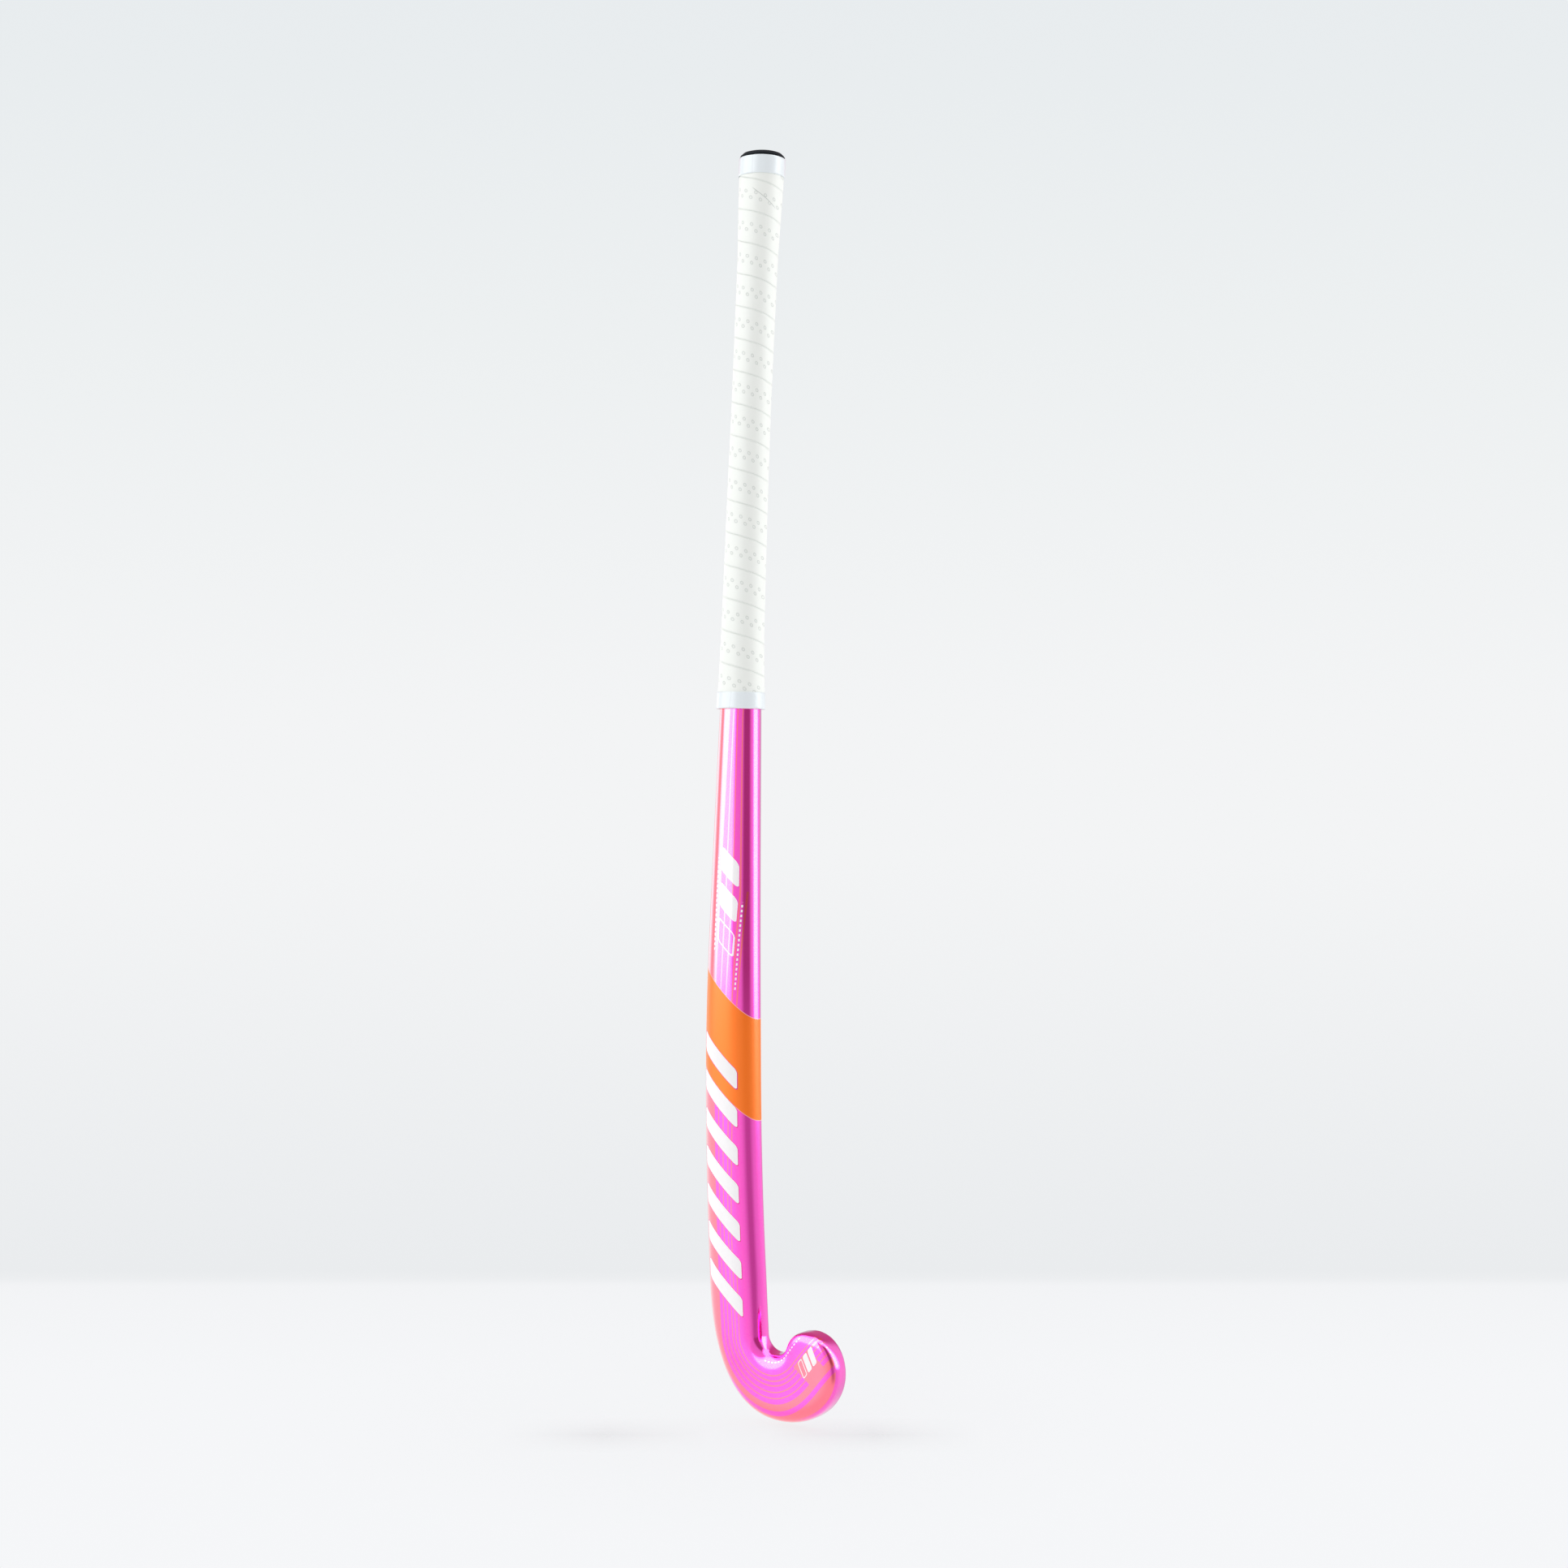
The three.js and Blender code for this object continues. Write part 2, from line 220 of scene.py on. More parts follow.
def bezier(a, b, c, d, steps=400):
    """Points of a cubic Bezier curve: (1-t)^3 a + 3 (1-t)^2 t b + 3 (1-t) t^2 c + t^3 d."""
    t = np.linspace(0, 1, steps)[:, None]
    a, b, c, d = (np.array(p, float) for p in (a, b, c, d))
    return (1 - t) ** 3 * a + 3 * (1 - t) ** 2 * t * b + 3 * (1 - t) * t ** 2 * c + t ** 3 * d


def at_share(points, share):
    """Point at a share of a polyline's length, straight between its corners."""
    length = np.concatenate([[0], np.cumsum(np.linalg.norm(np.diff(points, axis=0), axis=1))])
    return np.stack([np.interp(share * length[-1], length, points[:, k]) for k in (0, 1)], axis=-1)


def between(a, b, share):
    """The value a share of the way from a to b."""
    return a + (b - a) * share


heel = -head_width / 2
outer_edge = np.concatenate([
    bezier((heel, heel_start), (heel, heel_start * 0.32), (between(head_bottom, heel, 0.62), 0),
           (head_bottom, 0)),
    bezier((head_bottom, 0), (between(head_bottom, toe_reach, 0.57), 0), (toe_reach, toe_reach_height * 0.46),
           (toe_reach, toe_reach_height)),
    bezier((toe_reach, toe_reach_height), (toe_reach, between(toe_reach_height, toe_height, 0.61)),
           (between(toe_top, toe_reach, 0.55), toe_height), (toe_top, toe_height)),
])
crook_centre = np.array([head_width / 2 + crook_radius, crook_height])
crook_end = crook_centre + crook_radius * np.array([np.cos(toe_lean), -np.sin(toe_lean)])
toe_tip = np.array([toe_top, toe_height])
toe_span = np.linalg.norm(toe_tip - crook_end)
inner_edge = bezier(crook_end, crook_end + 0.5 * toe_span * np.array([np.sin(toe_lean), np.cos(toe_lean)]),
                    toe_tip - (0.31 * toe_span, 0), toe_tip)

shares = np.linspace(0, 1, 2001)
outer_at_shares = at_share(outer_edge, shares)
from_crook = outer_at_shares - crook_centre
past_crook = (from_crook[:, 0] > 0) & (np.arctan2(from_crook[:, 1], from_crook[:, 0]) > -toe_lean)
crook_share = shares[np.argmax(past_crook)]
print(f"the toe's inner edge spans {toe_span:.0f} mm")
print(f"the hook ends at share {crook_share:.3f} of the outer edge")

# %% Head rings


def head_frame(share):
    """Middle point, across direction and width of the slats at an array of shares: the outer edge joined
    to the shaft's side, then to the hook's arc along a radius, then to the toe's inner edge."""
    outer = at_share(outer_edge, share)
    radial = outer - crook_centre
    on_arc = crook_centre + crook_radius * radial / np.linalg.norm(radial, axis=1, keepdims=True)
    on_side = np.stack([np.full(len(share), head_width / 2), outer[:, 1]], axis=1)
    on_toe = at_share(inner_edge, np.clip((share - crook_share) / (1 - crook_share), 0, 1))
    straight = (outer[:, 0] < 0) & (outer[:, 1] >= crook_height)
    inner = np.where(straight[:, None], on_side, np.where((share < crook_share)[:, None], on_arc, on_toe))
    width = np.linalg.norm(inner - outer, axis=1)
    return (outer + inner) / 2, (inner - outer) / np.maximum(width, 1e-6)[:, None], width


tip_round = 6.5
tip_thinning = 0.3


def rounding(distance, radius):
    """Drop of a quarter circle of that radius, at a distance in from the rim."""
    left = np.clip(1 - distance / radius, 0, 1)
    return radius * (1 - np.sqrt(1 - left ** 2))


def head_points(share, inset):
    """Rings of the head as (ring, point, xyz). The face stays in one plane, a thinner toe loses its
    thickness at the back, and both round over within tip_round millimetres of the tip."""
    share = np.asarray(share, float)
    middle, direction, width = head_frame(share)
    tip = np.clip((share - crook_share) / (1 - crook_share), 0, 1)
    thickness = between(head_thickness, toe_thickness, share) * (1 - tip_thinning * tip ** 3)
    to_tip = np.linalg.norm(toe_tip - middle, axis=1)
    face_drop = rounding(to_tip, face_edge)
    back_rise = rounding(to_tip, tip_round)
    middle_depth = (head_thickness - thickness - face_drop + back_rise) / 2
    thickness = thickness - face_drop - back_rise
    across, depth = d_section(width, thickness, np.minimum(face_edge, width / 3),
                              between(back_fullness, toe_fullness, share), inset)
    flat = middle[:, None, :] + direction[:, None, :] * across[:, :, None]
    depth = depth + middle_depth[:, None] - bow_at(flat[:, :, 1])
    return np.stack([flat[:, :, 0], depth, flat[:, :, 1]], axis=2)


head_steps = 150
cavity_share = 0.877
head_outside = head_points(np.linspace(0.9992, 0, head_steps, endpoint=False), 0)
shaft_outside = shaft_points(np.linspace(heel_start, shell_top, 260), 0)
shaft_inside = shaft_points(np.linspace(shell_top, heel_start, 60), wall)
head_inside = head_points(np.linspace(0, cavity_share, 40)[1:], wall)
shell_rings = np.concatenate([head_outside, shaft_outside, shaft_inside, head_inside])

cad_low, cad_high = (np.array(corner) * 1000 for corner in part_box("stick_shell"))
shell_low, shell_high = shell_rings.min(axis=(0, 1)), shell_rings.max(axis=(0, 1))
shift = np.array([cad_low[0] - shell_low[0], cad_high[1] - shell_high[1], cad_high[2] - shell_high[2]])
print("shift from drawing to frame in mm:", shift.round(3))
print("size of the shell in mm:", (shell_high - shell_low).round(2), "CAD:", (cad_high - cad_low).round(2))

# %% [markdown]
# ## From arrays to meshes
# Every new piece is a grid of rings, closed round each ring. Rows may close on themselves, as in a sleeve,
# or end in a pole. One helper joins neighbours into quads that face outwards and writes a UV map in
# millimetres, so that a pattern can follow the piece.

# %% Mesh helper


def make_piece(name, rings, along=None, girth=None, loop=False, pole_first=False, pole_last=False):
    """Joins point (i, j) with its neighbours (i, j+1), (i+1, j+1) and (i+1, j). loop joins the last row
    to the first, and a pole closes an end on the mean of its ring."""
    rows, columns, _ = rings.shape
    points = (rings + shift).reshape(-1, 3) / 1000
    last_row = rows if loop else rows - 1
    i, j = np.meshgrid(np.arange(last_row), np.arange(columns), indexing="ij")
    below, above = i.ravel(), (i.ravel() + 1) % rows
    here, beside = j.ravel(), (j.ravel() + 1) % columns
    quads = np.stack([below * columns + here, below * columns + beside, above * columns + beside,
                      above * columns + here], axis=1)
    girth = np.linspace(0, 1, columns + 1)[None, :].repeat(rows, 0) if girth is None else girth
    along = np.linspace(0, 1, rows)[:, None].repeat(columns + 1, 1) if along is None else along
    uv_grid = np.stack([girth, along], axis=2)
    top = np.minimum(i.ravel() + 1, rows - 1)
    next_column = j.ravel() + 1
    quad_uv = np.stack([uv_grid[below, here], uv_grid[below, next_column], uv_grid[top, next_column],
                        uv_grid[top, here]], axis=1)
    faces, uvs = quads.tolist(), [quad_uv.reshape(-1, 2)]
    ring = np.arange(columns)
    for wanted, row, flip in ((pole_first, 0, True), (pole_last, rows - 1, False)):
        if wanted:
            centre = len(points)
            points = np.vstack([points, (rings[row].mean(axis=0) + shift) / 1000])
            a, b = row * columns + ring, row * columns + (ring + 1) % columns
            a, b = (b, a) if flip else (a, b)
            faces += np.stack([a, b, np.full(columns, centre)], axis=1).tolist()
            corner = uv_grid[row, :-1]
            uvs.append(np.stack([corner, corner, corner], axis=1).reshape(-1, 2))
    mesh = bpy.data.meshes.new(name)
    mesh.from_pydata(points.tolist(), [], faces)
    mesh.uv_layers.new(name="surface_mm").data.foreach_set("uv", np.concatenate(uvs).ravel())
    mesh.shade_smooth()
    piece = bpy.data.objects.new(name, mesh)
    bpy.context.scene.collection.objects.link(piece)
    print(f"{name}: {len(points)} points, {sum(len(f) - 2 for f in faces)} triangles")
    return piece


def give_values(piece, name, values):
    """Writes one number per point into a named attribute that a material can read."""
    attribute = piece.data.attributes.new(name, "FLOAT", "POINT")
    padded = np.zeros(len(piece.data.vertices))
    padded[:values.size] = values.ravel()
    attribute.data.foreach_set("value", padded)


# %% [markdown]
# ## The laminate shell
# The pinstripes on the lacquer run along the shaft, turn round the hook and leave at the toe. They are
# offsets of one guide: the line of the shaft's inner side, the hook's arc and the line of the toe's inner
# side. Each point of the shell stores its distance from that guide, and how far it lies towards the face,
# and the material draws its lines at chosen distances. The offsets then stay parallel by themselves.
# The painted lines are not quite parallel, so the distance is stretched a little: by toe_squeeze round the
# hook, and on the shaft about the middle of the lines, by a factor that changes with height.

# %% Shell and its guide
guide_lean = np.radians(40)
guide_radius = 18.0
toe_squeeze = 0.136
squeeze_heights, squeeze_factors = (150, 396, 526), (0.75, 1.12, 0.68)
lines_middle, lines_middle_on_shaft = 30.9, 36.7
toe_from, off_toe = 5.0, -99.0
toe_line = np.array([np.sin(guide_lean), np.cos(guide_lean)])


def smooth(share):
    """Smooth step of a share: 3 share^2 - 2 share^3."""
    return share ** 2 * (3 - 2 * share)


def guide_values(points):
    """Distance, run and toe run of each point. On the shaft the distance is head_width less the distance
    from the heel edge. In the head it is taken from the upright line above the hook's centre, from the
    arc below it, and from the leaning line past the end of the arc. It then grows by toe_squeeze as the
    point swings round the hook, and on the shaft it is measured again from the middle of the lines and
    divided by the squeeze factor. The run is the length along a guide of guide_radius, and the toe run is
    the length along the leaning line only."""
    across, height = points[..., 0] - crook_centre[0], points[..., 2] - crook_centre[1]
    leaning = across * toe_line[1] - height * toe_line[0]
    toe_run = across * toe_line[0] + height * toe_line[1]
    past_arc = (across > 0) & (toe_run > 0)
    in_arc = np.where(height > 0, -across, np.hypot(across, height))
    distance = np.where(past_arc, leaning, in_arc) - crook_radius
    from_heel = points[..., 0] + section_value(points[..., 2], section_widths) / 2
    distance = np.where(points[..., 2] > heel_start, head_width - from_heel, distance)

    angle = np.arctan2(-height, -across)
    swing = np.clip((angle - np.pi / 2) / (np.pi / 2 - guide_lean), 0, 1) * (height <= 0)
    swing = np.where(past_arc, 1, swing)
    distance = distance * (1 + toe_squeeze * smooth(swing))

    rise = np.clip(1 - angle / (np.pi / 2), 0, 1) * (height <= 0) + (height > 0)
    rise = np.where(past_arc, 0, rise)
    squeeze = np.interp(points[..., 2], squeeze_heights, squeeze_factors)
    spread = lines_middle_on_shaft + (distance - lines_middle) / squeeze
    distance = distance + (spread - distance) * smooth(rise)

    run = np.where(height > 0, -height, guide_radius * angle)
    run = np.where(past_arc, guide_radius * (np.pi - guide_lean) + toe_run, run)
    return distance, run, np.where(across > toe_from, toe_run, off_toe)


stick_laminate = make_piece("stick_laminate", shell_rings, pole_first=True, pole_last=True)
for name, values in zip(("guide_mm", "run_mm", "toe_run_mm"), guide_values(shell_rings)):
    give_values(stick_laminate, name, values)
ring_middle = shell_rings[:, :, 1].mean(axis=1, keepdims=True)
ring_reach = np.abs(shell_rings[:, :, 1] - ring_middle).max(axis=1, keepdims=True)
give_values(stick_laminate, "face_side", (shell_rings[:, :, 1] - ring_middle) / np.maximum(ring_reach, 1))

# %% [markdown]
# ## The wound grip
# The grip is one cushioned strip wound down the handle in 17 turns. A lofted strip could be swept with a
# curve and an array, but its turns would not follow the D section. Here the strip's cross profile, with
# rounded long edges, is carried along the helix, and each point takes its place from the section at its
# own height.

# %% Grip tape
steps_per_turn = around
shortest_edge = 2.6
edge_gap = 0.02
edge_round = 1.1
edge_depth = 0.22
end_gap = 0.35
turn_length = 86.0


def helix_points(turns, column, height, inset):
    """One point per entry: the section at that height and inset, at that column of the ring."""
    rings = shaft_points(height.ravel(), inset.ravel())
    columns = np.broadcast_to(column, height.shape).ravel()
    return rings[np.arange(len(rings)), columns].reshape(*height.shape, 3)


def strip_profile(steps=12):
    """Profile of the strip as (share of the width, share of the thickness), counter-clockwise: the outer
    side from the upper to the lower edge with rounded shoulders, then the flat inner side back up."""
    share = (1 - np.cos(np.linspace(0, np.pi, steps))) / 2
    outside = np.stack([1 - share, np.ones(steps)], axis=1)
    inside = np.array([[0, 0.25], [0, 0], [0.5, 0], [1, 0], [1, 0.25]])
    return np.concatenate([outside, inside])


def wound_strip(first_turn, last_turn, low_inset, high_inset):
    """Carries the profile down the helix: after a number of turns the strip's upper edge has dropped by
    that many pitches, trimmed level with the ends of the grip."""
    step = np.arange(round(first_turn * steps_per_turn), round(last_turn * steps_per_turn) + 1)
    turns = step / steps_per_turn
    low = np.maximum(tape_bottom, grip_top - tape_pitch * turns)
    high = np.minimum(grip_top, grip_top + tape_pitch * (1 - turns) - edge_gap)
    share, level = strip_profile().T
    height = low[:, None] + (high - low)[:, None] * share[None, :]
    from_edge = np.minimum(height - low[:, None], high[:, None] - height)
    shoulder = edge_depth * rounding(from_edge, edge_round) * level[None, :]
    inset = low_inset + (high_inset - low_inset) * level[None, :] + shoulder
    points = helix_points(turns, (step % steps_per_turn)[:, None], height, inset)
    return points, turns, height


first_turn = shortest_edge / tape_pitch
last_turn = grip_turns + 1 - (shortest_edge + end_gap) / tape_pitch
strip, turns, strip_height = wound_strip(first_turn, last_turn, tape_inset, grip_inset)
strip = strip[:, ::-1]
strip_along = np.repeat(turns[:, None] * turn_length, strip.shape[1] + 1, axis=1)
strip_across = grip_top - tape_pitch * (turns[:, None] - 0.5) - strip_height[:, ::-1]
strip_across = np.concatenate([strip_across, strip_across[:, :1]], axis=1)
grip_wrap = make_piece("grip_wrap", strip, along=strip_across, girth=strip_along, pole_first=True,
                       pole_last=True)

# %% [markdown]
# ## Film bands and butt plug
# Both film bands are sleeves: a small closed profile carried once round the section. The butt plug is a
# profile too, from the roof of its hollow stem down the inside, up the outside, over the flange that
# covers the shell's end, and over the bevel to the top.

# %% Bands and plug


def sleeve_rings(low, high, inner_inset, outer_inset, lip=0.12, steps=10):
    """Rings of a closed sleeve: down the inside, round a small lip, up the outside and round again."""
    rise = np.linspace(0, 1, steps)
    outside_height = low + lip + (high - low - 2 * lip) * rise
    height = np.concatenate([outside_height, [high], [high, low], [low]])
    inset = np.concatenate([np.full(steps, outer_inset), [outer_inset + lip], [inner_inset] * 2,
                            [outer_inset + lip]])
    return shaft_points(height, inset)


def sleeve_uv(rings):
    """Girth and height of the sleeve's rings in millimetres, with one more column to close the round."""
    closed = np.concatenate([rings, rings[:, :1]], axis=1)
    step = np.linalg.norm(np.diff(closed[:, :, :2], axis=1), axis=2)
    girth = np.concatenate([np.zeros((len(rings), 1)), np.cumsum(step, axis=1)], axis=1)
    return {"girth": girth, "along": closed[:, :, 2]}


film_outside = film_inset - film_thickness
collar_rings = sleeve_rings(grip_top - collar_length, grip_top, film_inset, film_outside)
collar_film = make_piece("collar_film", collar_rings, loop=True, **sleeve_uv(collar_rings))
finish_rings = sleeve_rings(grip_bottom, grip_bottom + finish_length, film_inset, film_outside)
finish_band = make_piece("finish_band", finish_rings, loop=True, **sleeve_uv(finish_rings))

bore_inset = core_inset + stem_wall
bore_top = stick_length - plug_roof
plug_heights = np.concatenate([
    np.linspace(bore_top, stem_bottom, 12), np.linspace(stem_bottom, shell_top + fit_gap, 12),
    [shell_top + fit_gap, shell_top + fit_gap + 0.3, grip_top + fit_gap, grip_top + fit_gap],
    [grip_top + fit_gap + 0.25, stick_length - plug_bevel - 0.3, stick_length - plug_bevel + 0.2],
    [stick_length - 0.5, stick_length - 0.12, stick_length, stick_length]])
plug_insets = np.concatenate([
    np.full(12, bore_inset), np.full(12, core_inset),
    [0.3, 0, 0, grip_inset + 0.25],
    [grip_inset, grip_inset, grip_inset + 0.2],
    [grip_inset + plug_bevel - 0.5, grip_inset + plug_bevel - 0.05, grip_inset + plug_bevel + 0.5, 8]])
plug_rings = shaft_points(plug_heights, plug_insets)
butt_cap = make_piece("butt_cap", plug_rings, pole_first=True, pole_last=True, **sleeve_uv(plug_rings))

# %% [markdown]
# ## Material helpers
# A material is a small graph of nodes. These helpers place a node, set its inputs and join its links in
# one call, so that the recipe of each finish can be read from top to bottom.

# %% Node helpers


def linear(red, green, blue):
    """Screen colour from 0 to 255 as the linear colour that the shader works with."""
    value = np.array([red, green, blue]) / 255
    return (*np.where(value <= 0.04045, value / 12.92, ((value + 0.055) / 1.055) ** 2.4).tolist(), 1.0)


def node(tree, kind, inputs=None, **settings):
    """Adds a node. Each input is a number or colour, or the output socket that feeds it."""
    made = tree.nodes.new(kind)
    for key, value in settings.items():
        setattr(made, key, value)
    for key, value in (inputs or {}).items():
        if isinstance(value, bpy.types.NodeSocket):
            tree.links.new(value, made.inputs[key])
        else:
            made.inputs[key].default_value = value
    return made


def math(tree, operation, *values):
    """One math node with its inputs in order."""
    return node(tree, "ShaderNodeMath", dict(enumerate(values)), operation=operation).outputs[0]


def mix(tree, share, first, second):
    """Colour between first and second."""
    made = node(tree, "ShaderNodeMix", data_type="RGBA")
    share_input, first_input, second_input = 0, 6, 7
    for key, value in ((share_input, share), (first_input, first), (second_input, second)):
        if isinstance(value, bpy.types.NodeSocket):
            tree.links.new(value, made.inputs[key])
        else:
            made.inputs[key].default_value = value
    return made.outputs[2]


def group(name, inputs, outputs):
    """A new shader node group with named float inputs and outputs, and its input and output nodes."""
    tree = bpy.data.node_groups.new(name, "ShaderNodeTree")
    for socket, default in inputs.items():
        kind = "NodeSocketVector" if default is None else "NodeSocketFloat"
        made = tree.interface.new_socket(socket, in_out="INPUT", socket_type=kind)
        if default is not None:
            made.default_value = default
    for socket in outputs:
        tree.interface.new_socket(socket, in_out="OUTPUT", socket_type="NodeSocketFloat")
    return tree, tree.nodes.new("NodeGroupInput").outputs, tree.nodes.new("NodeGroupOutput").inputs


def use(tree, shared, **inputs):
    """Places a shared group in a material and returns its outputs."""
    made = tree.nodes.new("ShaderNodeGroup")
    made.node_tree = shared
    for key, value in inputs.items():
        socket = made.inputs[key.replace("_", " ")]
        if isinstance(value, bpy.types.NodeSocket):
            tree.links.new(value, socket)
        else:
            socket.default_value = value
    return made.outputs


def material(name, slot_colour):
    """A new material with a Principled shader, and its tree and shader node."""
    made = bpy.data.materials.new(name)
    made.use_nodes = True
    made.diffuse_color = slot_colour
    return made, made.node_tree, made.node_tree.nodes["Principled BSDF"]


def object_mm(tree):
    """Object coordinates in millimetres."""
    place = node(tree, "ShaderNodeTexCoord").outputs["Object"]
    return node(tree, "ShaderNodeVectorMath", {0: place, 3: 1000.0}, operation="SCALE").outputs[0]


# %% Shared effects


def line_group():
    """Mask of a line: 1 where the value is within half_width of centre, with a soft rim."""
    tree, given, out = group("line", {"Value": 0.0, "Centre": 0.0, "Half width": 1.0, "Soft": 0.1}, ["Mask"])
    away = math(tree, "ABSOLUTE", math(tree, "SUBTRACT", given["Value"], given["Centre"]))
    inside = math(tree, "SUBTRACT", given["Half width"], away)
    share = math(tree, "DIVIDE", inside, given["Soft"])
    made = node(tree, "ShaderNodeClamp", {"Value": math(tree, "ADD", share, 0.5)})
    tree.links.new(made.outputs[0], out["Mask"])
    return tree


def bar_group():
    """Mask and outline of a rounded bar: the distance from a box less a corner radius is
    hypot(max(|x| - a, 0), max(|y| - b, 0)) - radius."""
    tree, given, out = group("rounded_bar", {"X": 0.0, "Y": 0.0, "Half width": 10.0, "Half height": 5.0,
                                             "Radius": 2.0, "Outline": 0.4, "Soft": 0.12}, ["Mask", "Rim"])
    over = []
    for side, half in (("X", "Half width"), ("Y", "Half height")):
        reach = math(tree, "SUBTRACT", given[half], given["Radius"])
        away = math(tree, "SUBTRACT", math(tree, "ABSOLUTE", given[side]), reach)
        over.append(math(tree, "POWER", math(tree, "MAXIMUM", away, 0.0), 2.0))
    distance = math(tree, "SUBTRACT", math(tree, "SQRT", math(tree, "ADD", *over)), given["Radius"])
    for limit, socket in ((0.0, "Mask"), (given["Outline"], "Rim")):
        share = math(tree, "DIVIDE", math(tree, "SUBTRACT", limit, distance), given["Soft"])
        made = node(tree, "ShaderNodeClamp", {"Value": math(tree, "ADD", share, 0.5)})
        tree.links.new(made.outputs[0], out[socket])
    return tree


def grain_group():
    """Fine irregular grain from two sizes of noise, from 0 to 1 about 0.5, and sparse soft patches."""
    tree, given, out = group("grain", {"Place": None, "Size": 1.0}, ["Grain", "Patches"])
    place, size = given["Place"], given["Size"]
    scaled = node(tree, "ShaderNodeVectorMath", {0: place, 3: size}, operation="SCALE").outputs[0]
    fine = node(tree, "ShaderNodeTexNoise", {"Vector": scaled, "Scale": 1.0, "Detail": 4.0, "Roughness": 0.6})
    broad = node(tree, "ShaderNodeTexNoise", {"Vector": scaled, "Scale": 0.07, "Detail": 2.0})
    for texture, socket in ((fine, "Grain"), (broad, "Patches")):
        factor = "Factor" if "Factor" in texture.outputs else "Fac"
        tree.links.new(texture.outputs[factor], out[socket])
    return tree


line = line_group()
rounded_bar = bar_group()
grain = grain_group()
print("shared effects:", line.name, rounded_bar.name, grain.name)

# %% [markdown]
# ## Lacquer
# The shaft is a metallic candy lacquer: bright metal under a tinted, glossy clear coat. So it is mostly a
# mirror, coloured by its base colour, and the studio's bright panels draw its white streaks. The band
# across it is the same paint in a satin orange. Plain slanted bars stand where such a stick carries its
# lettering.

# %% Lacquer colours and coordinates
magenta = linear(250, 70, 197)
salmon = linear(255, 109, 131)
orange = linear(255, 121, 2)
pale_salmon = linear(255, 170, 170)
white_paint = linear(252, 250, 252)
deep_magenta = linear(214, 20, 140)

lacquer, tree, shader = material("candy_lacquer", magenta)
place = object_mm(tree)
spot = node(tree, "ShaderNodeSeparateXYZ", {0: place}).outputs
across = math(tree, "SUBTRACT", spot[0], float(shift[0]))
height = spot[2]
guide, run, toe_run, face_side = (node(tree, "ShaderNodeAttribute", attribute_name=name).outputs["Fac"]
                                  for name in ("guide_mm", "run_mm", "toe_run_mm", "face_side"))
band_slant = 0.95
slanted = math(tree, "ADD", height, math(tree, "MULTIPLY", across, band_slant))


def both(*masks):
    """The product of several masks."""
    value = masks[0]
    for mask in masks[1:]:
        value = math(tree, "MULTIPLY", value, mask)
    return value


def either(*masks):
    """The largest of several masks."""
    value = masks[0]
    for mask in masks[1:]:
        value = math(tree, "MAXIMUM", value, mask)
    return value


def outside(mask):
    """Everywhere but the mask."""
    return math(tree, "SUBTRACT", 1.0, mask)


def within(value, low, high, soft=0.12):
    """Mask of the values from low to high."""
    centre, half_width = (low + high) / 2, (high - low) / 2
    return use(tree, line, Value=value, Centre=centre, Half_width=half_width, Soft=soft)["Mask"]


def repeated(value, first, pitch, count):
    """The value folded into one pitch about zero, and a mask of that many pitches from first on."""
    start = math(tree, "SUBTRACT", value, first - pitch / 2)
    folded = math(tree, "SUBTRACT", math(tree, "FLOORED_MODULO", start, pitch), pitch / 2)
    return folded, within(start, 0, pitch * count, 0.05)


def guide_lines(*places):
    """Mask of lines one millimetre wide at those distances from the guide."""
    return either(*(within(guide, at - 0.5, at + 0.5) for at in places))


def scaled(mask, factor):
    """A mask or value times a number."""
    return math(tree, "MULTIPLY", mask, factor)


# %% [markdown]
# ## Pinstripes and band
# Each stripe is a range of the guide's distance, cut to a stretch of the stick. Three thin salmon lines run
# the whole way. The heel side is a broad salmon band with one magenta stripe in it, and the toe has a salmon
# patch that ends in thin lines. The orange band lies between two slanted edges, each with a pale line.

# %% Pinstripes and orange band
band_low, band_high, band_edge = 247, 321.6, 0.5
on_back = within(face_side, -2, 0.25, 0.05)
orange_mask = within(slanted, band_low, band_high, 0.2)
orange_edge = both(within(slanted, band_low - band_edge, band_high + band_edge, 0.2), outside(orange_mask))

lower_line_top = 396
full_lines = guide_lines(32.3, 27.6, 22.7)
lower_line = both(guide_lines(19.1), within(height, -5, lower_line_top))
head_line = both(guide_lines(15.0), within(height, -5, heel_start))
hook_stripe = both(within(guide, 42.1, 46), within(run, 13, 300, 4))
heel_band = both(within(guide, 36.7, 90), outside(hook_stripe))
upper_heel = both(within(guide, 36.9, 90), within(height, 300, 960))
patch_length = 20
toe_patch = both(within(toe_run, 0, patch_length, 0.5), within(guide, 17.0, 40.0, 0.3))
toe_lines = both(guide_lines(18.1, 36.9), within(toe_run, patch_length - 1, 60))
toe_rim = both(within(face_side, -0.4, 3, 0.06), within(toe_run, -25, 300, 20))
salmon_mask = both(either(full_lines, lower_line, head_line, heel_band, upper_heel, toe_patch, toe_lines),
                   outside(toe_rim))
colour = mix(tree, salmon_mask, magenta, salmon)
colour = mix(tree, orange_mask, colour, orange)
colour = mix(tree, orange_edge, colour, pale_salmon)

# %% [markdown]
# ## Plain marks
# The lower shaft carries seven broad slanted bars. Above the orange band stand three smaller ones, two solid
# and one outlined, and the toe has the same three again. Short ticks and dashes fill the narrow columns.

